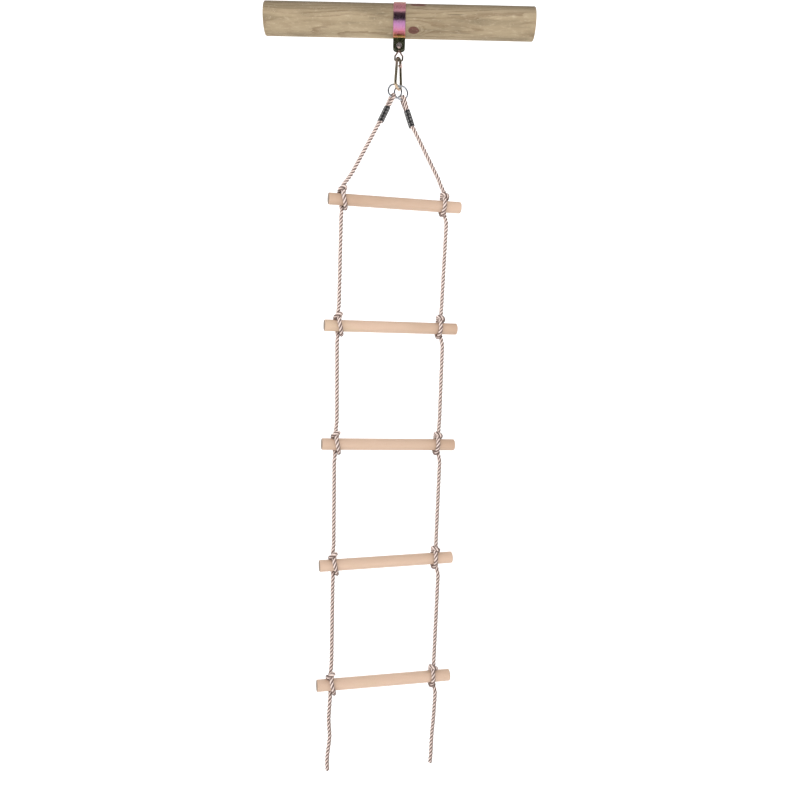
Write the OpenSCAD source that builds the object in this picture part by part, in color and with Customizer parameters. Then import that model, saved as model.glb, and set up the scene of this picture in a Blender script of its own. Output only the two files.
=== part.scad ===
/* [Beam] */
// Length of the round timber beam
beam_len = 790; // [500:10:1200]
// Diameter of the beam
beam_d = 94; // [90:1:120]
// Chamfer on the sawn ends
beam_chamfer = 2; // [1:0.5:6]

/* [Clamp] */
// Width of the strap along the beam
strap_w = 35; // [30:1:45]
// Thickness of the strap
strap_t = 3; // [2:0.5:4]
// Clear gap between the two ears
ear_gap = 9; // [8:0.5:12]
// How far the ears hang below the beam
ear_drop = 41; // [39:1:46]
// How far the bolt sits below the beam
bolt_drop = 28; // [27:1:29]
// Bolt diameter
bolt_d = 8; // [6:1:8]
// Hexagon across flats of the bolt head and nut
hex_af = 13; // [12:1:14]
// Outer diameter of the washers
washer_d = 17; // [15:0.5:20]

/* [Link and hook] */
// Wire diameter of the link
link_wire = 5; // [4:0.5:5]
// Wire diameter of the snap hook
hook_wire = 8; // [7:0.5:8]
// Centre line radius of the hook's narrow top bow
hook_top_r = 10.5; // [10:0.5:11]
// Centre line radius of the hook's wide bottom bow
hook_bow_r = 17; // [16:0.5:18]
// Distance between the centres of the two bows
hook_span = 63; // [58:1:68]
// Turn of the hook's plane away from the beam
hook_turn = 62; // [60:1:64]

/* [Rings] */
// Outer diameter of the two rings
ring_d = 45; // [44:0.5:46]
// Wire diameter of the rings
ring_wire = 5; // [4.5:0.5:5]
// Turn of the rings' plane away from the beam
ring_turn = 15; // [12:1:16]
// How far out each ring is pulled to its own side
ring_lean = 40; // [38:1:42]

/* [Rope] */
// Rope diameter
rope_d = 10; // [9:0.5:10]
// Distance between the two ropes at the rungs
rope_gap = 300; // [280:5:320]
// Lean of the left eye and sleeve from upright
eye_lean_left = 24; // [23:0.5:25]
// Lean of the right eye and sleeve from upright
eye_lean_right = 17; // [16:0.5:18]
// Length of the crimped sleeves
sleeve_len = 54; // [45:1:60]
// Turn of the two rope legs in the sleeves away from the beam
eye_turn = 112; // [110:1:116]

/* [Rungs] */
// Length of a rung
rung_len = 400; // [380:5:440]
// Diameter of a rung
rung_d = 34; // [32:0.5:34]
// Rounding of the rung ends
rung_round = 4; // [2:0.5:8]
// Turn of the hanging ladder away from the beam
ladder_turn = 13; // [10:1:16]

/* [Hidden] */
left = -1;
right = 1;
fine = 96;

// The ladder as it hangs: depth of each rung below the beam's axis, its slope and its sideways shift
rung_drop = [535, 900, 1245, 1590, 1940];
rung_tilt = [0.6, 0.8, 0.1, 2.2, 1.1];
rung_shift = [0, -4, -4, -3, -3];
// Where the rope enters and leaves a hitch, counted outwards from the middle of its front strand
entry_out = [6, 3];
exit_out = [11, 6];
entry_up = 60;
exit_down = 50;

beam_r = beam_d / 2;
ear_bottom = -(beam_r + ear_drop);
bolt_z = -(beam_r + bolt_drop);
strap_play = 0.2;
joint_gap = 0.3;
rope_r = rope_d / 2;

// Link: a small loop round the bolt's bush, a pinched neck and a wide lower loop
link_eye_r = 8;
link_bar_z = -115.8;
link_neck_z = -86;

// Snap hook
hook_r = hook_wire / 2;
hook_top_z = link_bar_z + link_wire / 2 - hook_top_r + hook_r + joint_gap;
hook_bow_z = hook_top_z - hook_span;
hook_slope = asin((hook_bow_r - hook_top_r) / hook_span);
bow_bottom_z = hook_bow_z - hook_bow_r;
hinge_along = 9.4;
gate_r = 3.8;
rivet_d = 3;
tongue_t = 3;
knuckle_r = 5;
knuckle_w = 9;

// Rings: each hangs on the bow and is pulled towards its own rope
ring_r = (ring_d - ring_wire) / 2;
ring_on_bow = 9;
ring_apart = 6.6;
ring_step = ring_apart / 2 / sin(hook_turn - ring_turn);

// Eyes and sleeves, along the leaning rope: z up the rope from the centre of the eye's bend
eye_bend_r = 8.2;
eye_play = 0.5;
leg_half = 4.6;
sleeve_top = -28;
sleeve_bottom = sleeve_top - sleeve_len;
sleeve_wall = 1.35;

// Hitch, in its own place: x inwards along the rung, y backwards, z up
wrap_in = rung_d / 2 + 0.2;
wrap_t = rope_d + 0.2;
crown_at = [-2, -9, 32];

// ---- places ----
function side_index(side) = side == left ? 0 : 1;
function eye_lean(side) = side == left ? eye_lean_left : eye_lean_right;
function turned(p, a) = [p[0] * cos(a) - p[1] * sin(a), p[0] * sin(a) + p[1] * cos(a), p[2]];
// A point on the bow under one ring, and that ring's centre
function bow_point(side) = turned([side * ring_step, 0, bow_bottom_z], hook_turn);
function outwards(side, lean) = [side * sin(lean), 0, -cos(lean)];
function ring_centre(side) = bow_point(side)
    + (ring_r - ring_on_bow) * turned(outwards(side, ring_lean), ring_turn);
// Where the rope hangs on the ring
function ring_foot(side) = ring_centre(side) + ring_r * turned(outwards(side, eye_lean(side)), ring_turn);
// The centre of an eye's bend, in the ladder's own turned frame
function eye_at(side) = turned(ring_foot(side), -ladder_turn) + eye_play * outwards(side, eye_lean(side));
// A point given along the leaning rope, in the ladder's frame
function on_eye(side, p) = let (q = turned(p, eye_turn - ladder_turn), a = -side * eye_lean(side))
    eye_at(side) + [q[0] * cos(a) + q[2] * sin(a), q[1], -q[0] * sin(a) + q[2] * cos(a)];
// A point given in the hitch's own place on rung k, in the ladder's frame
function on_hitch(k, side, p) = let (x = side * (rope_gap / 2 - p[0]), t = rung_tilt[k])
    [rung_shift[k] + x * cos(t) - p[2] * sin(t), p[1], -rung_drop[k] + x * sin(t) + p[2] * cos(t)];
function entry_point(k, side) = on_hitch(k, side, [-entry_out[side_index(side)], 0, entry_up]);
function exit_point(k, side) = on_hitch(k, side, [-exit_out[side_index(side)], 0, -exit_down]);
// The rope leg that runs on below a sleeve: the rear one on the left, the front one on the right
function running_leg(side) = -side * leg_half;

// ---- helpers ----
module in_ladder() rotate([0, 0, ladder_turn]) children();

// Turns and moves a child so that its z axis runs from a to b
module from_to(a, b) {
    v = b - a;
    translate(a) rotate([0, acos(v[2] / norm(v)), atan2(v[1], v[0])]) children();
}

module rod(a, b, d) from_to(a, b) cylinder(d = d, h = norm(b - a), $fn = fine);

// A rod whose start is rounded, for a rope that leaves a joint
module rope_run(a, b) from_to(a, b) rotate_extrude($fn = fine) union() {
    square([rope_r, norm(b - a)]);
    intersection() {
        circle(rope_r, $fn = fine);
        translate([0, -rope_r]) square([rope_r, rope_r + 1]);
    }
}

// An arc of round wire in the x-z plane, from angle a0 over sweep degrees
module wire_arc(centre, r, d, a0, sweep) translate([centre[0], 0, centre[1]]) rotate([90, 0, 0])
    rotate([0, 0, a0]) rotate_extrude(angle = sweep, $fn = fine) translate([r, 0]) circle(d = d, $fn = fine);

// A bead, a touch thicker than the wire or rope, where two stretches of it meet
module bead(p, d) translate(p) sphere(d = d + 0.1, $fn = fine);

// A stadium: two circles side by side and the bar between them
module stadium(half, r) union() {
    translate([half, 0]) circle(r, $fn = fine);
    translate([-half, 0]) circle(r, $fn = fine);
    translate([-half, -r]) square([2 * half, 2 * r]);
}

// ---- beam and clamp ----
module beam() color("tan") rotate([0, 90, 0]) translate([0, 0, -beam_len / 2])
    rotate_extrude($fn = fine) polygon([[0, 0], [beam_r - beam_chamfer, 0], [beam_r, beam_chamfer],
        [beam_r, beam_len - beam_chamfer], [beam_r - beam_chamfer, beam_len], [0, beam_len]]);

module strap_section() {
    inner = beam_r + strap_play;
    ear_in = ear_gap / 2;
    difference() {
        circle(inner + strap_t, $fn = fine * 2);
        circle(inner, $fn = fine * 2);
        translate([-ear_in, -inner - 10]) square([ear_gap, 20]);
    }
    for (s = [left, right]) translate([s * (ear_in + strap_t / 2), (ear_bottom - inner - 1) / 2])
        square([strap_t, -ear_bottom - inner - 1], center = true);
}

module ear_outline() {
    corner = 10;
    translate([-strap_w / 2, ear_bottom + corner]) square([strap_w, beam_d + ear_drop]);
    translate([-strap_w / 2 + corner, ear_bottom]) square([strap_w - 2 * corner, corner + 1]);
    for (s = [left, right]) translate([s * (strap_w / 2 - corner), ear_bottom + corner])
        circle(corner, $fn = fine);
}

module clamp_strap() color("rosybrown") difference() {
    intersection() {
        rotate([90, 0, 90]) translate([0, 0, -strap_w / 2]) linear_extrude(strap_w) strap_section();
        rotate([90, 0, 0]) translate([0, 0, -beam_d]) linear_extrude(2 * beam_d) ear_outline();
    }
    translate([0, 0, bolt_z]) rotate([90, 0, 0])
        cylinder(d = bolt_d + 0.5, h = 3 * ear_gap, center = true, $fn = fine);
}

washer_t = 1.6;
ear_face = ear_gap / 2 + strap_t;
head_t = 5.3;
nut_t = 8;
shank_out = 3;
module along_bolt(y) translate([0, y, bolt_z]) rotate([-90, 0, 0]) children();

module hexagon(t) intersection() {
    cylinder(d = hex_af / cos(30), h = t, $fn = 6);
    translate([0, 0, -1]) cylinder(d1 = hex_af + 6, d2 = hex_af + 0.6, h = t + 1, $fn = fine);
}

module clamp_bolt() color("silver") {
    seat = -(ear_face + washer_t);
    along_bolt(seat - head_t) mirror([0, 0, 1]) translate([0, 0, -head_t]) hexagon(head_t);
    along_bolt(seat) cylinder(d = bolt_d, h = -2 * seat + nut_t + shank_out, $fn = fine);
}

module bolt_washers() color("silver") for (y = [-(ear_face + washer_t), ear_face]) along_bolt(y)
    difference() {
        cylinder(d = washer_d, h = washer_t, $fn = fine);
        translate([0, 0, -1]) cylinder(d = bolt_d + 0.2, h = washer_t + 2, $fn = fine);
    }

module clamp_nut() color("silver") along_bolt(ear_face + washer_t) difference() {
    hexagon(nut_t);
    translate([0, 0, -1]) cylinder(d = bolt_d + 0.1, h = nut_t + 2, $fn = fine);
}

module bolt_bush() color("white") along_bolt(-ear_gap / 2 + 0.1) difference() {
    cylinder(d = 2 * link_eye_r - link_wire - 0.4, h = ear_gap - 0.2, $fn = fine);
    translate([0, 0, -1]) cylinder(d = bolt_d + 0.1, h = ear_gap + 2, $fn = fine);
}

// ---- link ----
link_shoulder = [11.2, -103];
link_corner = 4;
module delta_link() color("dimgray") {
    wire_arc([0, bolt_z], link_eye_r, link_wire, 0, 360);
    rod([0, 0, bolt_z - link_eye_r], [0, 0, link_neck_z], link_wire + 1.6);
    for (s = [left, right]) {
        x = s * link_shoulder[0];
        rod([0, 0, link_neck_z], [x, 0, link_shoulder[1]], link_wire);
        bead([x, 0, link_shoulder[1]], link_wire);
        bead([x, 0, link_bar_z + link_corner], link_wire);
        bead([x - s * link_corner, 0, link_bar_z], link_wire);
        rod([x, 0, link_shoulder[1]], [x, 0, link_bar_z + link_corner], link_wire);
        wire_arc([x - s * link_corner, link_bar_z + link_corner], link_corner, link_wire,
            s == right ? -90 : 180, 90);
    }
    rod([-link_shoulder[0] + link_corner, 0, link_bar_z], [link_shoulder[0] - link_corner, 0, link_bar_z],
        link_wire);
    bead([0, 0, link_neck_z], link_wire + 1.6);
}

// ---- snap hook, drawn in the x-z plane: spine on the left, gate on the right ----
module in_hook() rotate([0, 0, hook_turn]) children();
function side_line(s, up) = up
    ? [s * hook_top_r * cos(hook_slope), 0, hook_top_z + hook_top_r * sin(hook_slope)]
    : [s * hook_bow_r * cos(hook_slope), 0, hook_bow_z + hook_bow_r * sin(hook_slope)];
// A point on the gate's line, a given way below its top
function gate_line(down) = let (a = side_line(right, true), b = side_line(right, false))
    a + (b - a) * down / norm(b - a);
gate_pin_at = gate_line(hinge_along);
gate_tip_down = norm(side_line(right, false) - side_line(right, true)) - 5;
nose_t = 3.4;

module on_pin() translate(gate_pin_at) rotate([90, 0, 0]) children();
module knuckle(w) on_pin() cylinder(r = knuckle_r, h = w, center = true, $fn = fine);
module pin_hole(d) on_pin() cylinder(d = d, h = 30, center = true, $fn = fine);

module hook_body() color("darkgoldenrod") in_hook() difference() {
    union() {
        rod(gate_line(0), gate_line(2.5), hook_wire);
        wire_arc([0, hook_top_z], hook_top_r, hook_wire, hook_slope, 180 - 2 * hook_slope);
        rod(side_line(left, true), side_line(left, false), hook_wire);
        wire_arc([0, hook_bow_z], hook_bow_r, hook_wire, 180 - hook_slope, 180 + 2 * hook_slope);
        rod(gate_line(gate_tip_down + 0.6), side_line(right, false), hook_wire);
        for (s = [left, right]) {
            bead(side_line(s, true), hook_wire);
            bead(side_line(s, false), hook_wire);
        }
        knuckle(tongue_t);
        translate((gate_line(0) + gate_pin_at) / 2) rotate([0, -hook_slope, 0])
            cube([hook_wire - 1, tongue_t, hinge_along], center = true);
    }
    pin_hole(rivet_d);
    // Claw in the nose, open towards the inside, that takes the gate's tip
    translate(gate_line(gate_tip_down) + [-hook_wire, -nose_t / 2, -3]) cube([hook_wire + 1, nose_t, 5]);
}

module hook_gate() color("darkgoldenrod") in_hook() difference() {
    union() {
        knuckle(knuckle_w);
        rod(gate_pin_at, gate_line(gate_tip_down), 2 * gate_r);
        translate(gate_line(gate_tip_down) + [-1.6, -(nose_t - 0.8) / 2, -2]) cube([2.2, nose_t - 0.8, 4]);
    }
    pin_hole(rivet_d + 0.1);
    // Slot for the body's tongue, and the bore for plunger and spring
    translate(gate_pin_at + [-knuckle_r - 1, -(tongue_t + 0.6) / 2, -knuckle_r - 0.6])
        cube([2 * knuckle_r + 2, tongue_t + 0.6, 3 * knuckle_r]);
    rod(gate_line(hinge_along + 2), gate_line(hinge_along + 24), 4.4);
}

module gate_rivet() color("silver") in_hook() on_pin() {
    cylinder(d = rivet_d, h = knuckle_w + 0.4, center = true, $fn = fine);
    for (s = [left, right]) translate([0, 0, s * (knuckle_w / 2 + 0.5)])
        cylinder(d = 5, h = 0.8, center = true, $fn = fine);
}

module gate_plunger() color("silver") in_hook()
    rod(gate_line(hinge_along + 6.2), gate_line(hinge_along + 11), 4);

// A close coil spring as its stack of turns
module gate_spring() color("gray") in_hook()
    from_to(gate_line(hinge_along + 11.2), gate_line(hinge_along + 23.6)) rotate_extrude($fn = fine) union() {
        for (i = [0:10]) translate([1.5, 0.6 + 1.1 * i]) circle(0.6, $fn = 24);
        translate([1.3, 0.6]) square([0.4, 11]);
    }

// ---- rings ----
module ring(side) color("silver") translate(ring_centre(side)) rotate([0, 0, ring_turn])
    wire_arc([0, 0], ring_r, ring_wire, 0, 360);
module ring_left() ring(left);
module ring_right() ring(right);

// ---- ropes ----
module at_eye(side) translate(eye_at(side)) rotate([0, -side * eye_lean(side), 0])
    rotate([0, 0, eye_turn - ladder_turn]) children();

module sleeve(side) color("black") in_ladder() at_eye(side) difference() {
    translate([0, 0, sleeve_bottom]) linear_extrude(sleeve_len) stadium(leg_half, rope_r + sleeve_wall);
    translate([0, 0, sleeve_bottom - 1]) linear_extrude(sleeve_len + 2) stadium(leg_half, rope_r + 0.05);
}
module sleeve_left() sleeve(left);
module sleeve_right() sleeve(right);

// The rope's loop over a ring, its two legs and the stretch inside the sleeve
module eye(side) at_eye(side) {
    wire_arc([0, 0], eye_bend_r, rope_d, 0, 180);
    for (s = [left, right]) {
        bead([s * eye_bend_r, 0, 0], rope_d);
        rod([s * eye_bend_r, 0, 0], [s * leg_half, 0, sleeve_top + 2], rope_d);
        bead([s * leg_half, 0, sleeve_top + 2], rope_d);
        rod([s * leg_half, 0, sleeve_bottom - 2], [s * leg_half, 0, sleeve_top + 2], rope_d);
    }
}

// The outer shape of a hitch: the turns round the rung, and the crown round the rope above it
module hitch(k, side) translate([rung_shift[k], 0, -rung_drop[k]]) rotate([0, -rung_tilt[k], 0])
    translate([side * rope_gap / 2, 0, 0]) mirror([side == right ? 1 : 0, 0, 0]) {
        translate([-1, 0, 0]) rotate([0, 90, 0]) rotate_extrude($fn = fine)
            translate([wrap_in + wrap_t / 2, 0]) rotate([0, 0, 90]) stadium(7, wrap_t / 2);
        translate(crown_at) rotate_extrude($fn = fine) union() {
            translate([0, -rope_r]) square([rope_d, rope_d]);
            translate([rope_d, 0]) circle(rope_r, $fn = fine);
        }
        translate([7, -3, -25.5]) sphere(8, $fn = fine);
        translate([-exit_out[side_index(side)], 0, -exit_down + rope_r + joint_gap])
            cylinder(r = rope_r, h = exit_down - 22 - rope_r, $fn = fine);
    }

module rope_1(side) color("tan") in_ladder() {
    eye(side);
    rod(on_eye(side, [running_leg(side), 0, sleeve_bottom - 2]), on_hitch(0, side, crown_at), rope_d);
    bead(on_eye(side, [running_leg(side), 0, sleeve_bottom - 2]), rope_d);
    hitch(0, side);
}

module rope_next(k, side) color("tan") in_ladder() {
    rope_run(exit_point(k - 1, side), entry_point(k, side));
    bead(entry_point(k, side), rope_d);
    rod(entry_point(k, side), on_hitch(k, side, crown_at), rope_d);
    hitch(k, side);
}

module rope_left_1() rope_1(left);
module rope_left_2() rope_next(1, left);
module rope_left_3() rope_next(2, left);
module rope_left_4() rope_next(3, left);
module rope_left_5() rope_next(4, left);
module rope_right_1() rope_1(right);
module rope_right_2() rope_next(1, right);
module rope_right_3() rope_next(2, right);
module rope_right_4() rope_next(3, right);
module rope_right_5() rope_next(4, right);

// Free ends: route points from the exit of the last hitch, as sideways, backwards and down
tail_left_route = [[0, 0, 0], [-1, 0, -25], [-2, 1, -50], [0, 2, -75], [2, 2, -100], [0, 2, -125],
    [-3, 1, -150], [-4, 1, -175], [-2, 2, -198]];
tail_right_route = [[0, 0, 0], [-1, 0, -25], [-2, 1, -50], [-3, 2, -75], [-5, 2, -100], [-7, 2, -125],
    [-8, 2, -150], [-9, 1, -180], [-11, 1, -209]];
tail_sides = 12;

// A tube of rings at the route's points, with its first ring drawn in to a blunt tip at the joint
module swept(route) {
    n = len(route);
    sizes = [for (i = [-1:n - 1]) i < 0 ? 0.55 : 1];
    path = concat([route[0] + [0, 0, rope_r * 0.8]], route);
    points = [for (i = [0:n]) for (j = [0:tail_sides - 1])
        path[i] + sizes[i] * rope_r * [cos(360 * j / tail_sides), sin(360 * j / tail_sides), 0]];
    sides = [for (i = [0:n - 1]) for (j = [0:tail_sides - 1]) let (k = (j + 1) % tail_sides)
        [i * tail_sides + j, i * tail_sides + k, (i + 1) * tail_sides + k, (i + 1) * tail_sides + j]];
    first = [for (j = [tail_sides - 1:-1:0]) j];
    last = [for (j = [0:tail_sides - 1]) n * tail_sides + j];
    polyhedron(points, concat(sides, [first, last]));
}

module tail(side, route) color("tan") in_ladder() translate(exit_point(4, side)) swept(route);
module tail_left() tail(left, tail_left_route);
module tail_right() tail(right, tail_right_route);

// ---- rungs ----
module rung(k) color("burlywood") in_ladder() translate([rung_shift[k], 0, -rung_drop[k]])
    rotate([0, 90 - rung_tilt[k], 0]) rotate_extrude($fn = fine) union() {
        half = rung_len / 2;
        r = rung_d / 2;
        translate([0, -half]) square([r - rung_round, 2 * half]);
        translate([0, -half + rung_round]) square([r, 2 * (half - rung_round)]);
        for (s = [left, right]) translate([r - rung_round, s * (half - rung_round)])
            circle(rung_round, $fn = fine);
    }
module rung_1() rung(0);
module rung_2() rung(1);
module rung_3() rung(2);
module rung_4() rung(3);
module rung_5() rung(4);

beam();
clamp_strap();
clamp_bolt();
bolt_washers();
clamp_nut();
bolt_bush();
delta_link();
hook_body();
hook_gate();
gate_rivet();
gate_plunger();
gate_spring();
ring_left();
ring_right();
sleeve_left();
sleeve_right();
rope_left_1();
rope_left_2();
rope_left_3();
rope_left_4();
rope_left_5();
rope_right_1();
rope_right_2();
rope_right_3();
rope_right_4();
rope_right_5();
tail_left();
tail_right();
rung_1();
rung_2();
rung_3();
rung_4();
rung_5();
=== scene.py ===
# %% [markdown]
# # A rope ladder on a round beam
#
# Five wooden rungs hang in two twisted ropes. The ropes end in eyes on two steel rings, the rings hang on
# a snap hook, and the hook hangs in a wire link under a strap clamp on a round timber beam. The packed
# model fixes every size and place, and this file builds the surfaces that are seen around it.

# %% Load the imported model
import math

import bpy
import numpy as np
from mathutils import Matrix, Vector


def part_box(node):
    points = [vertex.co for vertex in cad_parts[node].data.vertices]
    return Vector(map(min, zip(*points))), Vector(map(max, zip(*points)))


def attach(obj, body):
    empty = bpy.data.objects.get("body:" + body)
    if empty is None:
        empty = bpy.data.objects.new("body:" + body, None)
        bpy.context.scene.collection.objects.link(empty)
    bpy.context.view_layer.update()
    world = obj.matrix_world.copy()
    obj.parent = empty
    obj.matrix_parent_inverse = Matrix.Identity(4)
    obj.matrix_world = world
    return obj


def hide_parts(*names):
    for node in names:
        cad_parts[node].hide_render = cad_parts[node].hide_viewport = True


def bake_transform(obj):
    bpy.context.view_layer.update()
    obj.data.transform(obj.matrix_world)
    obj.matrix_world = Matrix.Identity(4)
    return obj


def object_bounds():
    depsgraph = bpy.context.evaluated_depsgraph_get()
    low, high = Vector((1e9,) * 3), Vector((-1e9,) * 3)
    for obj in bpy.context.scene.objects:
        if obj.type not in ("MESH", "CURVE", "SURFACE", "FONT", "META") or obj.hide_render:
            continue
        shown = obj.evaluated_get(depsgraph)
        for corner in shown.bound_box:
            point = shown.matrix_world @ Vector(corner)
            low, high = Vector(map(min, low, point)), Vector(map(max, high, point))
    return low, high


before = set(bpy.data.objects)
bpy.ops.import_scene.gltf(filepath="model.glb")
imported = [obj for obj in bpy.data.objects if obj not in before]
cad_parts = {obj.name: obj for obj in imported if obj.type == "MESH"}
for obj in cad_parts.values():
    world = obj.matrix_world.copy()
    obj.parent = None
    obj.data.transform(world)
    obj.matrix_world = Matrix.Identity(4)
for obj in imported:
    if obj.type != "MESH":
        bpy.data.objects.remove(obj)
cad_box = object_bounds()
MM = 0.001
LEFT, RIGHT = -1, 1
SIDES = {LEFT: "left", RIGHT: "right"}
print("model box", [round(v, 3) for corner in cad_box for v in corner])

# %% [markdown]
# ## The camera
#
# The ladder is seen from the front, from a little above its middle and a little more than two metres
# away. The camera looks level, and it is held about one degree out of true, so the picture is rolled.

# %% Camera
CAMERA_PLACE = (0.0258, -2.186, -1.1075)
CAMERA_PITCH = math.radians(-0.16)
CAMERA_ROLL = math.radians(1.26)
camera_data = bpy.data.cameras.new("camera")
camera_data.lens = 33.4
camera_data.sensor_width = 36
camera = bpy.data.objects.new("camera", camera_data)
bpy.context.scene.collection.objects.link(camera)
upright = Matrix.Rotation(math.radians(90) + CAMERA_PITCH, 4, "X")
camera.matrix_world = Matrix.Translation(CAMERA_PLACE) @ upright @ Matrix.Rotation(CAMERA_ROLL, 4, "Z")
bpy.context.scene.camera = camera
print("camera at", [round(v, 3) for v in camera.location])

# %% [markdown]
# ## Surfaces as grids
#
# Most pieces are skins: rings of points carried along a line, joined to their neighbours by quads. One
# helper turns an array of rings into a closed mesh. It also stores a UV map, so that a pattern can follow
# the surface, and it closes both ends with a fan round a middle point.

# %% Helpers that turn arrays into meshes
def unit(v):
    """Each vector divided by its own length."""
    return v / np.linalg.norm(v, axis=-1, keepdims=True)


def new_piece(name, points, faces, corner_uv=None):
    """A smooth-shaded mesh object at the origin, from points in metres and a list of faces."""
    mesh = bpy.data.meshes.new(name)
    mesh.from_pydata(points.tolist(), [], faces)
    if corner_uv is not None:
        mesh.uv_layers.new(name="lay").data.foreach_set("uv", corner_uv.astype(np.float32).ravel())
    mesh.shade_smooth()
    piece = bpy.data.objects.new(name, mesh)
    bpy.context.scene.collection.objects.link(piece)
    return piece


def skin(name, rings, u=None, v=None):
    """Rings of points (ring, column, xyz) joined by quads, with a fan at each end.

    Columns run anticlockwise seen against the direction of travel, so that the faces point outwards.
    u has one value per column and one more for the seam, and v has one value per ring.
    """
    n, m = rings.shape[:2]
    u = np.linspace(0, 1, m + 1) if u is None else u
    v = np.linspace(0, 1, n) if v is None else v
    i, j = np.meshgrid(np.arange(n - 1), np.arange(m), indexing="ij")
    k = (j + 1) % m
    quads = np.stack([i * m + j, i * m + k, (i + 1) * m + k, (i + 1) * m + j], -1).reshape(-1, 4)
    quad_uv = np.stack([np.stack([u[j], v[i]], -1), np.stack([u[j + 1], v[i]], -1),
                        np.stack([u[j + 1], v[i + 1]], -1), np.stack([u[j], v[i + 1]], -1)], -2)
    column = np.arange(m)
    after = (column + 1) % m
    first, last = n * m, n * m + 1
    start = np.stack([np.full(m, first), after, column], -1)
    finish = np.stack([np.full(m, last), (n - 1) * m + column, (n - 1) * m + after], -1)
    points = np.concatenate([rings.reshape(-1, 3), rings[0].mean(0)[None], rings[-1].mean(0)[None]])
    half = (u[:-1] + u[1:]) / 2
    cap_uv = [np.stack([np.stack([half, np.full(m, w)], -1), np.stack([a, np.full(m, w)], -1),
                        np.stack([b, np.full(m, w)], -1)], -2).reshape(-1, 2)
              for w, a, b in ((v[0], u[1:], u[:-1]), (v[-1], u[:-1], u[1:]))]
    uv = np.concatenate([quad_uv.reshape(-1, 2), *cap_uv])
    return new_piece(name, points, quads.tolist() + start.tolist() + finish.tolist(), uv)


def even(points, step):
    """The line through the points again, with points an even step apart, both ends kept."""
    run = np.concatenate([[0], np.cumsum(np.linalg.norm(np.diff(points, axis=0), axis=1))])
    at = np.linspace(0, run[-1], max(2, int(round(run[-1] / step)) + 1))
    return np.stack([np.interp(at, run, points[:, c]) for c in range(3)], -1)


def curve_through(points, per_leg=16):
    """A Catmull-Rom curve: between two points it follows the cubic set by them and their neighbours."""
    p = np.asarray(points, float)
    p = np.concatenate([2 * p[:1] - p[1:2], p, 2 * p[-1:] - p[-2:-1]])
    t = np.linspace(0, 1, per_leg, endpoint=False)[None, :, None]
    a, b, c, d = (p[s:len(p) - 3 + s, None] for s in range(4))
    cubic = 0.5 * (2 * b + (c - a) * t + (2 * a - 5 * b + 4 * c - d) * t**2 + (3 * b - a - 3 * c + d) * t**3)
    return np.concatenate([cubic.reshape(-1, 3), p[-2:-1]])


def carried_frames(line):
    """Two directions across the line at each point, carried along it without turning about it.

    Each pair is the one before, turned by the small angle between the two tangents, so this runs in order.
    """
    tangent = unit(np.gradient(line, axis=0))
    across = np.zeros_like(line)
    across[0] = unit(np.cross(tangent[0], [0, 0, 1] if abs(tangent[0, 2]) < 0.9 else [1, 0, 0]))
    for i in range(1, len(line)):
        moved = across[i - 1] - (across[i - 1] @ tangent[i]) * tangent[i]
        across[i] = moved / np.linalg.norm(moved)
    return across, np.cross(tangent, across)


print("helpers ready")

# %% [markdown]
# ## The light
#
# A pale dish stands round the ladder: a floor that curves up into a wall on every side, so that the ladder
# is seen against the same soft white from anywhere. One large soft light stands in front, and the open sky
# above is dimmer, so that round pieces go darker along their tops. Bright metal only looks like metal when
# it has something dark to show, so a curved dark card stands in front of the ladder, behind the camera. It
# is seen in reflections only.

# %% Dish, lights and card
def stage_material(name, color, glow):
    """A matt surface that also glows a little, so that the dish stays evenly white."""
    material = bpy.data.materials.new(name)
    material.use_nodes = True
    shader = material.node_tree.nodes["Principled BSDF"]
    shader.inputs["Base Color"].default_value = (*color, 1)
    shader.inputs["Roughness"].default_value = 0.9
    shader.inputs["Emission Color"].default_value = (1, 1, 1, 1)
    shader.inputs["Emission Strength"].default_value = glow
    return material


def dish(floor_z, flat, curve, height):
    """A floor disc, a quarter round and an upright wall, turned about the upright axis."""
    bend = np.linspace(0, math.pi / 2, 12)
    out = np.concatenate([[0.0001, flat / 2, flat], flat + curve * np.sin(bend[1:]), [flat + curve]])
    up = np.concatenate([[0, 0, 0], curve * (1 - np.cos(bend[1:])), [height]])
    around = np.linspace(0, 2 * math.pi, 96, endpoint=False)[None]
    rings = np.stack([out[:, None] * np.cos(around), out[:, None] * np.sin(around),
                      floor_z + up[:, None] + 0 * around], -1)
    n, m = rings.shape[:2]
    i, j = np.meshgrid(np.arange(n - 1), np.arange(m), indexing="ij")
    k = (j + 1) % m
    quads = np.stack([i * m + j, (i + 1) * m + j, (i + 1) * m + k, i * m + k], -1).reshape(-1, 4)
    return new_piece("dish", rings.reshape(-1, 3), quads.tolist())


def soft_light(name, place, aim, size, power):
    """A square area light at a place, turned towards a point."""
    data = bpy.data.lights.new(name, "AREA")
    data.size = size
    data.energy = power
    light = bpy.data.objects.new(name, data)
    bpy.context.scene.collection.objects.link(light)
    towards = Vector(aim) - Vector(place)
    light.visible_glossy = False
    light.matrix_world = Matrix.Translation(place) @ towards.to_track_quat("-Z", "Y").to_matrix().to_4x4()
    return light


floor_z = cad_box[0][2] - 0.12
floor = dish(floor_z, 3.2, 1.6, 8.0)
floor.data.materials.append(stage_material("pale_dish", (0.66, 0.66, 0.66), 0.55))

CARD_R, CARD_FOOT, CARD_HEIGHT, CARD_COLUMNS = 4, -1.5, 4, 24
sweep = np.linspace(math.radians(-75), math.radians(75), CARD_COLUMNS)
foot = np.stack([CARD_R * np.sin(sweep), -CARD_R * np.cos(sweep), np.full(CARD_COLUMNS, CARD_FOOT)], -1)
card = new_piece("dark_card", np.concatenate([foot, foot + [0, 0, CARD_HEIGHT]]),
                 [(i, i + 1, i + CARD_COLUMNS + 1, i + CARD_COLUMNS) for i in range(CARD_COLUMNS - 1)])
card.data.materials.append(stage_material("card_black", (0.02, 0.02, 0.02), 0.0))
card.visible_camera = False
card.visible_diffuse = False
card.visible_shadow = False

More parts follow.
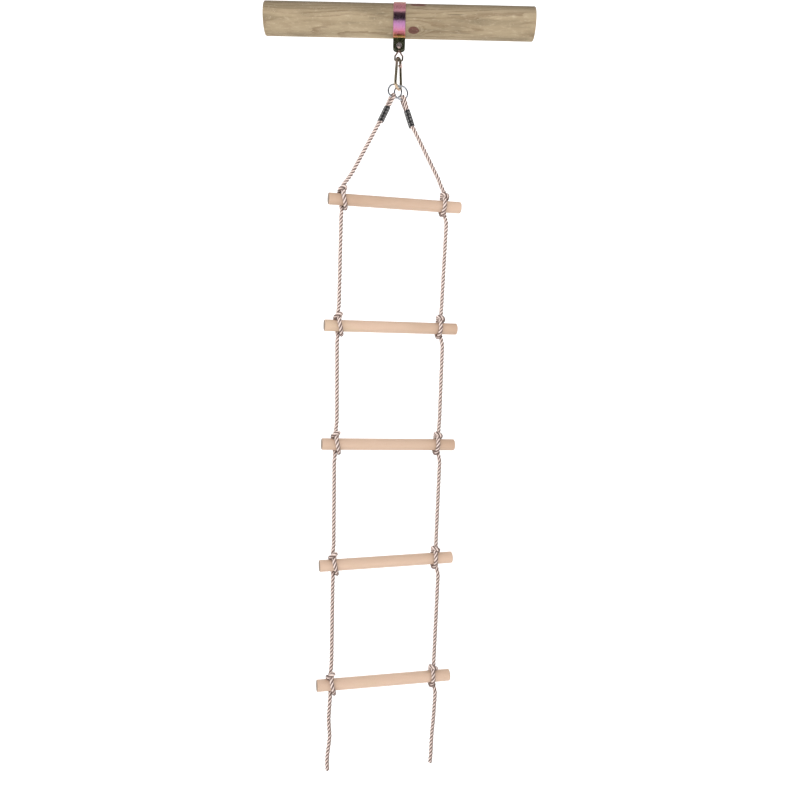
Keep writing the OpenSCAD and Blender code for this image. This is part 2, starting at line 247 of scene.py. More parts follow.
soft_light("front_soft", (-1.1, -3.0, -0.4), (0, 0, -1.1), 2.4, 24)
soft_light("side_soft", (2.8, -1.2, 0.6), (0, 0, -0.9), 1.2, 8)
world = bpy.data.worlds.new("sky")
world.use_nodes = True
world.node_tree.nodes["Background"].inputs["Color"].default_value = (1, 1, 1, 1)
world.node_tree.nodes["Background"].inputs["Strength"].default_value = 0.5
bpy.context.scene.world = world
bpy.context.scene.view_settings.view_transform = "Standard"
print("floor at", round(floor_z, 3))

# %% [markdown]
# ## The route of the rope
#
# Each rope is one length from the eye down to its free end. It runs down to a rung, turns round it, goes
# once round its own standing part above the rung, turns round the rung again and leaves below, which locks
# the rung in a hitch. The route is a list of given points, in the hitch's own place. Left like
# that, the turns would float or cut into each other, so the line is then pulled tight in small steps: it
# shortens, and it is pushed off the wood and off its own turns wherever they come too near.

# %% Sizes of the rope and the places of the rungs
ROPE_R = 5 * MM
ROPE_PITCH = 34 * MM
ROPE_GAP = 300 * MM
LADDER_TURN = math.radians(13)
ALONG = np.array([math.cos(LADDER_TURN), math.sin(LADDER_TURN), 0])
BACK = np.array([-math.sin(LADDER_TURN), math.cos(LADDER_TURN), 0])
RUNG_R = 17 * MM
STEP = 1.5 * MM


def rung_place(k):
    """The middle of rung k and the direction along it, from the spread of its CAD points."""
    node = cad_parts[f"rung_{k}"]
    co = np.zeros(len(node.data.vertices) * 3, np.float32)
    node.data.vertices.foreach_get("co", co)
    co = co.reshape(-1, 3).astype(float)
    middle = (co.min(0) + co.max(0)) / 2
    right = co[(co - middle) @ ALONG > 0.15].mean(0)
    leftmost = co[(co - middle) @ ALONG < -0.15].mean(0)
    return middle, unit(right - leftmost)


RUNGS = {k: rung_place(k) for k in range(1, 6)}
print("rung heights", [round(float(m[2]), 3) for m, _ in RUNGS.values()])


# %% The hitch, pulled tight
ENTRY_OUT = {LEFT: 6, RIGHT: 3}
EXIT_OUT = {LEFT: 11, RIGHT: 6}
EXIT_DOWN = 50


FRONT = {LEFT: (-9, -2, -9), RIGHT: (5, 5, 2)}


def hitch_route(side, straight_in):
    """Route points in mm: x inwards along the rung, y backwards, z up, from the rung's axis."""
    a, e = -ENTRY_OUT[side], -EXIT_OUT[side]
    top, low, crown = FRONT[side]
    if straight_in:
        lead = [(20, 0, 80), ((top + 40) / 3, -2, 65), ((2 * top + 20) / 3, -5, 50), (top + 1, -9, 38)]
    else:
        lead = [(a, 0, 78), (a, 0, 63), ((a + top) / 2, -4, 48), (top, -9, 37)]
    down = [(top, -16, 27), (top, -21, 12), ((top + low) / 2, -23, -1), (low, -21, -12),
            (low + 2, -15, -23), (low + 4, -4, -30), (low + 4, 8, -27), (low + 3, 18, -15),
            (low + 2, 23, -3), (low, 22, 10), (low - 1, 15, 21)]
    over = [(crown + 5, 7, 26), (crown + 7, 0, 33), (crown + 7, -12, 36), (crown + 2, -20, 34),
            (crown - 4, -21, 29), (crown - 8, -16, 25), (crown - 9, -7, 22), (crown - 8, 6, 21),
            (crown - 6, 16, 15)]
    out = [(e, 22, 4), (e + 2, 20, -10), (e + 3, 11, -23), (e + 3, 4, -32), (e + 1, 1, -41),
           (e, 0, -EXIT_DOWN)]
    return np.array(lead + down + over + out, float)


def pulled_tight(line, steps=120):
    """The route in mm, shortened and pushed clear of the rung and of itself in small steps.

    A point moves towards the middle of its neighbours. One nearer the rung's axis than wood and rope
    together moves straight out. Two points of different turns nearer than a rope's width move apart.
    """
    line = even(line, 2)
    n = len(line)
    apart = np.abs(np.subtract.outer(np.arange(n), np.arange(n))) > 8
    width, clear = 9.5, 22.4
    for _ in range(steps):
        line[1:-1] += 0.35 * ((line[:-2] + line[2:]) / 2 - line[1:-1])
        gap = line[:, None] - line[None]
        far = np.linalg.norm(gap, axis=-1) + 1e-9
        push = np.where(apart & (far < width), (width - far) / far * 0.35, 0)
        move = (gap * push[..., None]).sum(1)
        move[[0, 1, 2, -3, -2, -1]] = 0
        line += move
        out = np.hypot(line[:, 1], line[:, 2])
        lift = np.maximum(out, clear) / np.maximum(out, 1e-9)
        line[:, 1:] *= lift[:, None]
    return line


def hitch(k, side):
    """The pulled hitch on rung k, in metres in the model's own frame."""
    route = pulled_tight(curve_through(hitch_route(side, k == 1)))
    middle, along = RUNGS[k]
    up = np.cross(along, BACK)
    return (middle + side * (ROPE_GAP / 2 - route[:, :1] * MM) * along
            + route[:, 1:2] * MM * BACK + route[:, 2:] * MM * up)


HITCHES = {(k, side): hitch(k, side) for k in RUNGS for side in SIDES}
print("rope in one hitch", [round(float(np.linalg.norm(np.diff(h, axis=0), axis=1).sum()), 3)
                            for h in HITCHES.values()][:4])

# %% [markdown]
# ## The eyes
#
# At the top the rope goes over its ring and back beside itself, and a sleeve holds the two legs together.
# The eye lies in a plane across the ring's wire, and it leans out towards its own side of the ladder.

# %% Places of the eyes
RING_R = 20 * MM
RING_TURN = math.radians(15)
EYE_LEAN = {LEFT: math.radians(24), RIGHT: math.radians(20)}
EYE_TURN = {LEFT: math.radians(126), RIGHT: math.radians(112)}
EYE_BEND_R = 8.2 * MM
LEG_HALF = 4.6 * MM
SLEEVE_TOP = -33 * MM
SLEEVE_LEN = 50 * MM


def turned(p, angle):
    """Points turned about the upright axis."""
    p = np.atleast_2d(np.asarray(p, float))
    c, s = math.cos(angle), math.sin(angle)
    return np.stack([p[:, 0] * c - p[:, 1] * s, p[:, 0] * s + p[:, 1] * c, p[:, 2]], -1)


def eye_frame(side):
    """The middle of the eye's bend, and the directions across its legs, out of its plane and up the rope."""
    low, high = (np.array(c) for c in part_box(f"ring_{SIDES[side]}"))
    lean = np.array([side * math.sin(EYE_LEAN[side]), 0, -math.cos(EYE_LEAN[side])])
    middle = (low + high) / 2 + RING_R * turned(lean, RING_TURN)[0] + 0.5 * MM * turned(lean, LADDER_TURN)[0]
    c, s = math.cos(-side * EYE_LEAN[side]), math.sin(-side * EYE_LEAN[side])
    axes = turned(np.eye(3), EYE_TURN[side] - LADDER_TURN)
    axes = np.stack([axes[:, 0] * c + axes[:, 2] * s, axes[:, 1], -axes[:, 0] * s + axes[:, 2] * c], -1)
    return middle, turned(axes, LADDER_TURN)


def eye_route(side):
    """The rope from the short leg's cut end, over the ring and down the running leg."""
    middle, axes = eye_frame(side)
    turn = np.linspace(0, math.pi, 9)
    bend = np.stack([np.cos(turn), 0 * turn, np.sin(turn)], -1) * EYE_BEND_R
    end = SLEEVE_TOP - SLEEVE_LEN
    legs = [[LEG_HALF, 0, end - 1 * MM], [LEG_HALF, 0, end + 20 * MM], [LEG_HALF, 0, SLEEVE_TOP]]
    local = np.array(legs + bend.tolist()
                     + [[-LEG_HALF, 0, z] for z in (SLEEVE_TOP, end + 20 * MM, end - 4 * MM)])
    local[:, 0] *= side
    return middle + curve_through(local) @ axes


EYES = {side: eye_route(side) for side in SIDES}
print("eyes at", [np.round(e.mean(0), 3).tolist() for e in EYES.values()])

# %% [markdown]
# ## The free ends
#
# Below the lowest rung each rope hangs down about two hand-widths and stops in a cut, melted end. It keeps
# a little of the wave that it had when it was coiled.

# %% Routes of the free ends
TAIL_ROUTES = {
    LEFT: [(0, 0, 0), (-1, 0, -25), (-2, 1, -50), (0, 2, -75), (2, 2, -100), (0, 2, -125),
           (-3, 1, -150), (-4, 1, -175), (-2, 2, -198)],
    RIGHT: [(0, 0, 0), (-1, 0, -25), (-2, 1, -50), (-3, 2, -75), (-5, 2, -100), (-7, 2, -125),
            (-8, 2, -150), (-9, 1, -180), (-11, 1, -209)],
}


def tail(side):
    """The free end's line, from the lowest hitch's exit."""
    route = curve_through(np.array(TAIL_ROUTES[side]) * MM)
    return HITCHES[5, side][-1] + route[:, :1] * ALONG + route[:, 1:2] * BACK + route[:, 2:] * [0, 0, 1]


TAILS = {side: tail(side) for side in SIDES}
print("lowest points", [round(float(t[-1, 2]), 3) for t in TAILS.values()])

# %% [markdown]
# ## The twisted rope
#
# Three strands are laid round each other. Seen end on, the outline is three overlapping rounds, and it
# turns once in every 34 mm. The skin's columns turn with it, so each one stays on the same strand and the
# grooves stay sharp. The whole rope is worked out as one line, so the lay runs on through every joint, and
# it is then cut into one piece for each stretch between two rungs.

# %% Make the ropes
STRAND_OUT, STRAND_R, FLUFF = 0.41, 0.59, 1.22
COLUMNS = 42


def rope_outline():
    """The outline as angle and radius: the far side of a round set off from the middle, three times."""
    angle = np.linspace(0, 2 * math.pi, COLUMNS, endpoint=False)
    local = (angle + math.pi / 3) % (2 * math.pi / 3) - math.pi / 3
    radius = STRAND_OUT * np.cos(local) + np.sqrt(STRAND_R**2 - (STRAND_OUT * np.sin(local))**2)
    return angle, radius * ROPE_R * FLUFF


def softened(line, width=3):
    """The line with its small kinks averaged away, both ends kept."""
    kernel = np.hanning(2 * width + 3)[1:-1]
    kernel /= kernel.sum()
    padded = np.concatenate([2 * line[:1] - line[width:0:-1], line, 2 * line[-1:] - line[-2:-width - 2:-1]])
    return np.stack([np.convolve(padded[:, c], kernel, "valid") for c in range(3)], -1)


def whole_line(side):
    """One rope from eye to free end, in even steps, and the index of each hitch's exit on it."""
    parts = [EYES[side]] + [HITCHES[k, side] for k in RUNGS] + [TAILS[side][1:]]
    line = softened(even(np.concatenate(parts), STEP))
    return line, [int(np.argmin(np.linalg.norm(line - HITCHES[k, side][-1], axis=1))) for k in RUNGS]


def rope_pieces(side):
    """Cuts the line at the exits and gives each stretch its skin."""
    line, exits = whole_line(side)
    across, beside = carried_frames(line)
    run = np.concatenate([[0], np.cumsum(np.linalg.norm(np.diff(line, axis=0), axis=1))])
    angle, radius = rope_outline()
    phase = angle[None] + 2 * math.pi * run[:, None] / ROPE_PITCH
    rings = line[:, None] + (np.cos(phase)[..., None] * across[:, None]
                             + np.sin(phase)[..., None] * beside[:, None]) * radius[None, :, None]
    cuts = [0, *exits, len(line) - 1]
    names = [f"rope_{SIDES[side]}_{k}" for k in RUNGS] + [f"tail_{SIDES[side]}"]
    made = []
    for name, a, b in zip(names, cuts[:-1], cuts[1:]):
        u, v = np.linspace(0, 3, COLUMNS + 1), run[a:b + 1] / ROPE_PITCH
        piece = skin(name + "_laid", rings[a:b + 1], u, v)
        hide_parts(name)
        made.append(piece)
    return made


ROPES = {side: rope_pieces(side) for side in SIDES}

# %% [markdown]
# ## How the ropes move
#
# The stretch from the eye down to the first rung rides with the first bay. The lower stretches and the
# free ends are left fixed where they are made.

# %% The top stretches ride the first bay
for side, word in SIDES.items():
    for k, piece in zip(RUNGS, ROPES[side]):
        if k == 1:
            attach(piece, "bay_1")
        else:
            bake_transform(piece)
    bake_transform(ROPES[side][5])

# %% [markdown]
# ## Short ways to build a finish
#
# Every finish is a small web of shader nodes. Each method below adds one node and gives back its output,
# so that a finish can be read from top to bottom like a recipe. Numbers that are the same all over the
# surface are set on the shader itself.

# %% Shader helper
class Finish:
    """A material with one shader, and methods that each add one node to it."""

    def __init__(self, name, **fixed):
        self.material = bpy.data.materials.new(name)
        self.material.use_nodes = True
        self.tree = self.material.node_tree
        self.shader = self.tree.nodes["Principled BSDF"]
        for socket, value in fixed.items():
            self.shader.inputs[socket.replace("_", " ").title().replace("Ior", "IOR")].default_value = value

    def add(self, kind, sockets=(), output=0, **settings):
        """One node, with its settings and its inputs, which may be numbers or other outputs."""
        node = self.tree.nodes.new("ShaderNode" + kind)
        for key, value in settings.items():
            setattr(node, key, value)
        for key, value in dict(sockets).items():
            self.put(node.inputs[key], value)
        return node.outputs[output]

    def put(self, socket, value):
        """Sets a socket to a number, or links it to an output."""
        if isinstance(value, bpy.types.NodeSocket):
            self.tree.links.new(value, socket)
        else:
            socket.default_value = value

    def where(self, scale=(1, 1, 1), turn=(0, 0, 0), shift=(0, 0, 0)):
        """The place on the object in metres, shifted, turned and scaled."""
        place = self.add("TexCoord", output=3)
        return self.add("Mapping", {"Vector": place, "Scale": scale, "Rotation": turn, "Location": shift})

    def math(self, operation, a, b=0.0):
        """One sum of two numbers."""
        return self.add("Math", {0: a, 1: b}, operation=operation)

    def split(self, vector):
        """The three parts of a vector."""
        node = self.tree.nodes.new("ShaderNodeSeparateXYZ")
        self.put(node.inputs[0], vector)
        return node.outputs[0], node.outputs[1], node.outputs[2]

    def vector(self, operation, a, b=(0, 0, 0), output=0):
        """One sum of two vectors."""
        return self.add("VectorMath", {0: a, 1: b}, output=output, operation=operation)

    def noise(self, vector, scale, detail=3.0, rough=0.5, output=0):
        """Soft noise: about 0.5 on average, with finer layers on top."""
        return self.add("TexNoise", {"Vector": vector, "Scale": scale, "Detail": detail, "Roughness": rough},
                        output=output)

    def between(self, value, low, high, to_low=0.0, to_high=1.0):
        """The value from low to high carried to another range, and held at its ends."""
        return self.add("MapRange", {"Value": value, "From Min": low, "From Max": high, "To Min": to_low,
                                     "To Max": to_high}, interpolation_type="SMOOTHSTEP")

    def ramp(self, value, stops):
        """A run of colours: each stop is a place from 0 to 1 and a colour."""
        node = self.tree.nodes.new("ShaderNodeValToRGB")
        bar = node.color_ramp.elements
        while len(bar) < len(stops):
            bar.new(1.0)
        for element, (place, color) in zip(bar, stops):
            element.position = place
            element.color = (*color, 1)
        self.put(node.inputs[0], value)
        return node.outputs[0]

    def mix(self, share, a, b, blend="MIX"):
        """Two colours mixed by a share from 0 to 1."""
        node = self.tree.nodes.new("ShaderNodeMix")
        node.data_type = "RGBA"
        node.blend_type = blend
        self.put(node.inputs[0], share)
        self.put(node.inputs[6], a if isinstance(a, bpy.types.NodeSocket) else (*a, 1))
        self.put(node.inputs[7], b if isinstance(b, bpy.types.NodeSocket) else (*b, 1))
        return node.outputs[2]

    def bump(self, height, distance, strength=1.0, under=None):
        """A relief that is distance metres high where height is 1."""
        sockets = {"Height": height, "Distance": distance, "Strength": strength}
        if under is not None:
            sockets["Normal"] = under
        return self.add("Bump", sockets)

    def done(self, color, roughness=None, normal=None):
        """Links the results to the shader and gives the material back."""
        self.put(self.shader.inputs["Base Color"], color)
        if roughness is not None:
            self.put(self.shader.inputs["Roughness"], roughness)
        if normal is not None:
            self.put(self.shader.inputs["Normal"], normal)
        print("finish", self.material.name)
        return self.material


# %% [markdown]
# ## Rope fibre
#
# Each strand is pale beige with a darker brown band along one flank, so brown and pale stripes climb round
# it. The UV map counts strands across and turns along, so one ramp over the part of u past the decimal
# point colours all three strands. The yarns run almost straight down the rope, which is the sum of both
# coordinates, and their relief catches the light as fine lines; the grooves between yarns are also
# darkened a little, as painted shade.

# %% Rope finish
YARNS = 27


def rope_finish():
    """Pale and brown across each strand, with painted shade between yarns: the ramp colours a strand across,
    and the yarn lines run down the rope.
    """
    f = Finish("rope_fibre", roughness=0.82, sheen_weight=0.12, sheen_roughness=0.5)
    lay = f.add("UVMap", uv_map="lay")
    u, v, _ = f.split(lay)
    strand = f.math("FRACT", u)
    yarn_place = f.math("ADD", f.math("DIVIDE", u, 3), v)
    blotch = f.noise(f.where(), 90, 2)
    edge = f.math("MULTIPLY", f.math("SUBTRACT", blotch, 0.5), 0.16)
    color = f.ramp(f.math("ADD", strand, edge), [
        (0.0, (0.09, 0.058, 0.048)), (0.06, (0.135, 0.088, 0.073)), (0.36, (0.18, 0.12, 0.10)),
        (0.46, (0.72, 0.57, 0.51)), (0.62, (0.88, 0.74, 0.68)), (0.84, (0.80, 0.65, 0.59)),
        (0.95, (0.24, 0.16, 0.135)), (1.0, (0.09, 0.058, 0.048))])
    yarn = f.math("ABSOLUTE", f.math("SUBTRACT", f.math("FRACT", f.math("MULTIPLY", yarn_place, YARNS)), 0.5))
    fleck = f.noise(f.where(), 900, 2)
    tone = f.between(fleck, 0.3, 0.7, 0.86, 1.08)
    color = f.mix(1.0, color, f.add("CombineXYZ", {0: tone, 1: tone, 2: tone}), "MULTIPLY")
    # Painted shade: the colour is darkened to 0.86 of itself in the grooves between yarns.
    painted_groove_shade = f.between(yarn, 0.30, 0.5, 1.0, 0.86)
    color = f.mix(1.0, color, f.add("CombineXYZ", {0: painted_groove_shade, 1: painted_groove_shade, 2: painted_groove_shade}), "MULTIPLY")
    relief = f.bump(f.between(yarn, 0.5, 0.12), 0.25 * MM)
    relief = f.bump(fleck, 0.15 * MM, under=relief)
    return f.done(color, normal=relief)


rope_fibre = rope_finish()
for piece in ROPES[LEFT] + ROPES[RIGHT]:
    piece.data.materials.append(rope_fibre)

# %% [markdown]
# ## The rungs
#
# A rung is a turned beech rod with rounded ends. Its skin is a surface of revolution: a profile of radius
# against distance along the rod, swept right round. The profile follows the CAD rod, with the end faces
# crowned by half a millimetre, as a sander leaves them.

# %% Make the rungs
RUNG_LEN = 400 * MM
RUNG_ROUND = 4 * MM
RUNG_CROWN = 0.5 * MM


def turned_rod(name, middle, along, profile, columns):
    """A surface of revolution: each profile row is a distance along the rod and a radius."""
    across = unit(np.cross(along, [0, 0, 1]))
    up = np.cross(along, across)
    angle = np.linspace(0, 2 * math.pi, columns, endpoint=False)
    ring = np.cos(angle)[:, None] * across + np.sin(angle)[:, None] * up
    rings = middle + profile[:, :1, None] * along + profile[:, 1:, None] * ring[None]
    return skin(name, rings, v=profile[:, 0] / RUNG_LEN + 0.5)


def rung_profile():
    """Half a crowned end face, a quarter round and the straight side, mirrored for the other end."""
    bend = np.linspace(0, math.pi / 2, 9)
    inner = RUNG_R - RUNG_ROUND
    face = np.linspace(0.05, 1, 6)[:-1] * inner
    end = -RUNG_LEN / 2
    x = np.concatenate([end + RUNG_CROWN * (face / inner)**2,
                        end + RUNG_CROWN + (RUNG_ROUND - RUNG_CROWN) * (1 - np.cos(bend)),
                        np.linspace(end + RUNG_ROUND, 0, 12)[1:]])
    r = np.concatenate([face, inner + RUNG_ROUND * np.sin(bend), np.full(11, RUNG_R)])
    return np.stack([np.concatenate([x, -x[-2::-1]]), np.concatenate([r, r[-2::-1]])], -1)


PROFILE = rung_profile()
rungs = {}
for k, (middle, along) in RUNGS.items():
    piece = turned_rod(f"rung_{k}_turned", middle, along, PROFILE, 96)
    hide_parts(f"rung_{k}")
    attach(piece, f"bay_{k}")
    rungs[k] = piece
print("rungs", len(rungs), "with", len(rungs[1].data.polygons), "faces each")


# %% [markdown]
# ## Beech
#
# Beech is a pale pinkish tan with straight, quiet grain and short darker flecks. The pattern is solid: it
# is worked out from the place in space, stretched along the rod, so the same layers that run as lines down
# the side come out as arcs on the end.

# %% Beech finish
def beech_finish():
    """Straight-grained beech, much darker on the end faces where the rod stops."""
    f = Finish("beech", roughness=0.5, specular_ior_level=0.35)
    turn = (0, 0, -LADDER_TURN)
    slow = f.noise(f.where((2.2, 9, 9), turn), 1.0, 3)
    wavy = f.noise(f.where((5, 60, 60), turn), 1.0, 2)
    _, back, up = f.split(f.where((1, 1, 1), turn))
    depth = f.math("ADD", f.math("MULTIPLY", up, 0.83), f.math("MULTIPLY", back, 0.56))
    layer = f.math("ADD", f.math("MULTIPLY", depth, 320), f.math("MULTIPLY", wavy, 2.2))
    line = f.math("ABSOLUTE", f.math("SUBTRACT", f.math("FRACT", layer), 0.5))
    fibre = f.noise(f.where((30, 900, 900), turn), 1.0, 2)
    fleck = f.noise(f.where((160, 1500, 1500), turn), 1.0, 1)
    color = f.ramp(slow, [(0.30, (0.45, 0.31, 0.22)), (0.48, (0.52, 0.375, 0.28)), (0.62, (0.57, 0.41, 0.31)),
                          (0.75, (0.53, 0.40, 0.285))])
    color = f.mix(f.between(line, 0.36, 0.5, 0, 0.22), color, (0.50, 0.29, 0.18))
    color = f.mix(f.between(fibre, 0.35, 0.7, 0, 0.16), color, (0.56, 0.35, 0.23))
    color = f.mix(f.between(fleck, 0.66, 0.74, 0, 0.45), color, (0.42, 0.23, 0.14))
    from_end = f.math("ABSOLUTE", f.math("SUBTRACT", f.split(f.add("UVMap", uv_map="lay"))[1], 0.5))
    color = f.mix(f.between(from_end, 0.4935, 0.4965, 0, 0.88), color, (0.16, 0.115, 0.08))
    rough = f.between(fibre, 0.3, 0.7, 0.42, 0.6)
    return f.done(color, rough, f.bump(fibre, 0.08 * MM, 0.7))


beech = beech_finish()
for piece in rungs.values():
    piece.data.materials.append(beech)

# %% [markdown]
# ## The beam
#
# The beam is a length of turned softwood with sawn ends. It is a surface of revolution too, a hair out of
# round: slow waves of a few tenths of a millimetre, and a low swelling round each knot, all kept under the
# size of the CAD beam so that the clamp still fits.

# %% Make the beam
BEAM_LEN = 790 * MM
BEAM_R = 47 * MM
KNOTS = {"big": (41 * MM, -39 * MM, 16 * MM, 11 * MM), "edge": (54 * MM, 31 * MM, 24 * MM, 8 * MM),
         "low": (-236 * MM, -30 * MM, 9 * MM, 6 * MM), "rear": (-180 * MM, 10 * MM, 15 * MM, 10 * MM)}
KNOT_BEHIND = {"rear", "low"}


def knot_place(name):
    """A knot's middle on the beam's skin: it is given along the beam and up from the axis."""
    x, z, _, _ = KNOTS[name]
    y = math.sqrt(BEAM_R**2 - z**2)
    return np.array([x, y if name in KNOT_BEHIND else -y, z])


def make_beam():
    """Rings along x: radius less a slow wave in length and angle, plus a low swelling at each knot."""
    end = np.array([0, 0.5, 1, 1.6, 2.4]) * MM
    middle = np.linspace(4 * MM, BEAM_LEN - 4 * MM, 260)
    x = np.concatenate([end, middle, BEAM_LEN - end[::-1]]) - BEAM_LEN / 2
    angle = np.linspace(0, 2 * math.pi, 192, endpoint=False)[None]
    chamfer = np.maximum(0, 2 * MM - (BEAM_LEN / 2 - np.abs(x)))
    wave = (np.sin(7 * x[:, None] + 2 * angle) + np.sin(17 * x[:, None] - 3 * angle + 1)
            + 0.5 * np.sin(41 * x[:, None] + 5 * angle + 2))
    radius = BEAM_R - chamfer[:, None] - (2.5 - wave) * 0.09 * MM
    y, z = -np.cos(angle) * radius, -np.sin(angle) * radius
    for name in KNOTS:
        px, py, pz = knot_place(name)
        near = ((x[:, None] - px)**2 + (y - py)**2 + (z - pz)**2) / (KNOTS[name][2])**2
        radius = radius + 0.3 * MM * np.exp(-near)
    radius = np.minimum(radius, BEAM_R)
    rings = np.stack([x[:, None] + 0 * radius, -np.cos(angle) * radius, -np.sin(angle) * radius], -1)
    return skin("beam_turned", rings[:, ::-1])


beam = make_beam()
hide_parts("beam")
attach(beam, "root")
print("beam faces", len(beam.data.polygons))


# %% [markdown]
# ## Weathered softwood
#
# The growth rings of a log are tubes round a wandering pith. The pith runs a little off the middle, so the
# turned surface cuts the tubes at a slant, and that is what draws the long wavy lines. A knot pushes the
# rings outwards round itself. Greyer weathered areas, fine checks and dust go on top, and the upper side
# of the beam is darkened as painted shade from the dim sky above.

# %% Softwood finish
def softwood_finish():
    """Growth rings round a wandering pith, swollen round each knot, with painted shade darkening the beam's
    upper side.
    """
    f = Finish("softwood", roughness=0.75, specular_ior_level=0.25)
    place = f.where()
    sway = f.vector("SUBTRACT", f.noise(f.where((1.7, 5, 5)), 1.0, 2, output=1), (0.5, 0.5, 0.5))
    ripple = f.vector("SUBTRACT", f.noise(f.where((11, 60, 60)), 1.0, 3, output=1), (0.5, 0.5, 0.5))
    moved = f.vector("ADD", place, f.vector("MULTIPLY", sway, (0, 0.062, 0.062)))
    moved = f.vector("ADD", moved, f.vector("MULTIPLY", ripple, (0, 0.006, 0.006)))
    from_pith = f.vector("MULTIPLY", f.vector("SUBTRACT", moved, (0, 0.014, 0.021)), (0, 1, 1))
    depth = f.vector("LENGTH", from_pith, output=1)
    knot_mask = knot_core = 0.0
    for name, (_, _, wide, high) in KNOTS.items():
        off = f.vector("SUBTRACT", place, tuple(knot_place(name)))
        off = f.vector("DIVIDE", off, (wide, high, high))
        off = f.vector("ADD", off, f.vector("MULTIPLY", ripple, (0.5, 0.5, 0.5)))
        near = f.vector("LENGTH", off, output=1)
        swell = f.math("POWER", 2.718, f.math("MULTIPLY", f.math("MULTIPLY", near, near), -0.32))
        knot_mask = f.math("ADD", knot_mask, swell)
        knot_core = f.math("MAXIMUM", knot_core, f.between(near, 1.06, 0.9))
    depth = f.math("ADD", depth, f.math("MULTIPLY", knot_mask, 0.013))
    year = f.math("FRACT", f.math("MULTIPLY", depth, 230))
    late = f.math("MULTIPLY", f.between(year, 0.45, 0.90), f.between(year, 1.0, 0.94))
    grey = f.noise(f.where((4, 26, 26)), 1.0, 4, 0.6)
    fibre = f.noise(f.where((14, 700, 700)), 1.0, 3, 0.6)
    mottle = f.noise(f.where((60, 160, 160)), 1.0, 3, 0.6)
    color = f.ramp(grey, [(0.30, (0.215, 0.168, 0.105)), (0.50, (0.335, 0.262, 0.165)),
                          (0.70, (0.43, 0.34, 0.225))])
    wear_and_painted_highlight = f.between(f.noise(f.where((5, 30, 30), shift=(3, 1, 2)), 1.0, 3), 0.35, 0.65, 0.15, 0.6)
    color = f.mix(f.math("MULTIPLY", late, wear_and_painted_highlight), color, (0.17, 0.11, 0.06))
    color = f.mix(f.between(fibre, 0.45, 0.75, 0, 0.30), color, (0.26, 0.19, 0.12))
    color = f.mix(f.between(mottle, 0.5, 0.8, 0, 0.35), color, (0.60, 0.50, 0.36))
    # Painted shade: the beam's upper side is darkened by height, standing in for the dim sky above it.
    top = f.between(f.split(place)[2], -0.006, 0.040, 0, 0.72)
    color = f.mix(top, color, (0.125, 0.095, 0.058))
    check = f.math("MULTIPLY", f.between(f.noise(f.where((9, 260, 260)), 1.0, 2), 0.70, 0.76), 0.8)
    color = f.mix(check, color, (0.10, 0.075, 0.05))
    knot_color = f.mix(f.between(fibre, 0.4, 0.7), (0.105, 0.045, 0.035), (0.17, 0.08, 0.06))
    color = f.mix(knot_core, color, knot_color)
    speck = f.between(f.noise(place, 520, 1), 0.72, 0.77)
    color = f.mix(f.math("MULTIPLY", speck, 0.7), color, (0.72, 0.66, 0.55))
    height = f.math("SUBTRACT", f.math("MULTIPLY", fibre, 0.5), check)
    relief = f.bump(height, 0.35 * MM, 0.8)
    relief = f.bump(late, 0.25 * MM, 0.5, under=relief)
    return f.done(color, f.between(fibre, 0.3, 0.7, 0.68, 0.9), relief)


beam.data.materials.append(softwood_finish())

# %% [markdown]
# ## The strap
#
# The clamp is one flat steel band: an ear, a small bend, most of a circle round the beam, a bend and the
# other ear. A flat section with rounded edges is swept along that route. The band narrows at both ends to
# the round corners of the ears.

# %% Make the strap
STRAP_W, STRAP_T, EDGE = 35 * MM, 3 * MM, 0.7 * MM
EAR_Y, EAR_BOTTOM, EAR_CORNER, BEND = 6 * MM, -88 * MM, 10 * MM, 4.5 * MM


def strap_route():
    """Half the band's middle line, as y and z: up an ear, round the bend and over to the top; then both."""
    radius = BEAM_R + 0.2 * MM + STRAP_T / 2
    side = EAR_Y + BEND
    low = -math.sqrt((radius + BEND)**2 - side**2)
    end = EAR_BOTTOM + EAR_CORNER * (1 - np.cos(np.linspace(0, math.pi / 2, 10)))
    ear = np.stack([np.full(14, EAR_Y), np.concatenate([end, np.linspace(end[-1], low, 5)[1:]])], -1)
    turn = np.linspace(math.pi, math.atan2(-low, -side), 10)[1:]
    bend = np.stack([side + BEND * np.cos(turn), low + BEND * np.sin(turn)], -1)
    foot = math.atan2(low, side)
    around = np.linspace(foot, math.pi / 2, 80)[1:]
    half = np.concatenate([ear, bend, np.stack([np.cos(around), np.sin(around)], -1) * radius])
    return np.concatenate([half, half[-2::-1] * [-1, 1]])


def make_strap():
    """A rounded flat section (across, out) on every point of the route, narrowed at the ears' corners."""
    route = strap_route()
    tangent = unit(np.gradient(route, axis=0))
    out = np.stack([tangent[:, 1], -tangent[:, 0]], -1)
    drop = np.clip(route[:, 1] - EAR_BOTTOM, 0, EAR_CORNER)
    half = STRAP_W / 2 - EAR_CORNER + np.sqrt(EAR_CORNER**2 - (EAR_CORNER - drop)**2)
    arc = np.linspace(0, math.pi / 2, 5)
    corner = np.stack([np.cos(arc), np.sin(arc)], -1) * EDGE
    edge = np.concatenate([corner, [(-EDGE, EDGE)]])
    edge = np.concatenate([edge, edge[::-1] * [-1, 1], edge * [-1, -1], edge[::-1] * [1, -1]])
    sign_x = np.repeat([1, -1, -1, 1], 6)
    sign_y = np.repeat([1, 1, -1, -1], 6)
    x = sign_x * (half[:, None] - EDGE) + edge[:, 0]
    n = np.broadcast_to(sign_y * (STRAP_T / 2 - EDGE) + edge[:, 1], x.shape)
    rings = np.stack([x, route[:, :1] + n * out[:, :1], route[:, 1:] + n * out[:, 1:]], -1)
    return skin("strap_band", rings[:, ::-1])


strap = make_strap()
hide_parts("clamp_strap")
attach(strap, "root")
print("strap faces", len(strap.data.polygons))

# %% [markdown]
# ## Rings and sleeves
#
# The rings are smooth round steel. Each sleeve is a tube with a stadium outline and rolled rims, and a
# press has left a row of small dimples down each of its sides.

# %% Make the rings and sleeves
DIMPLES = 4
WIRE_R = 2.5 * MM
RING_AROUND, RING_WIRE = 160, 28


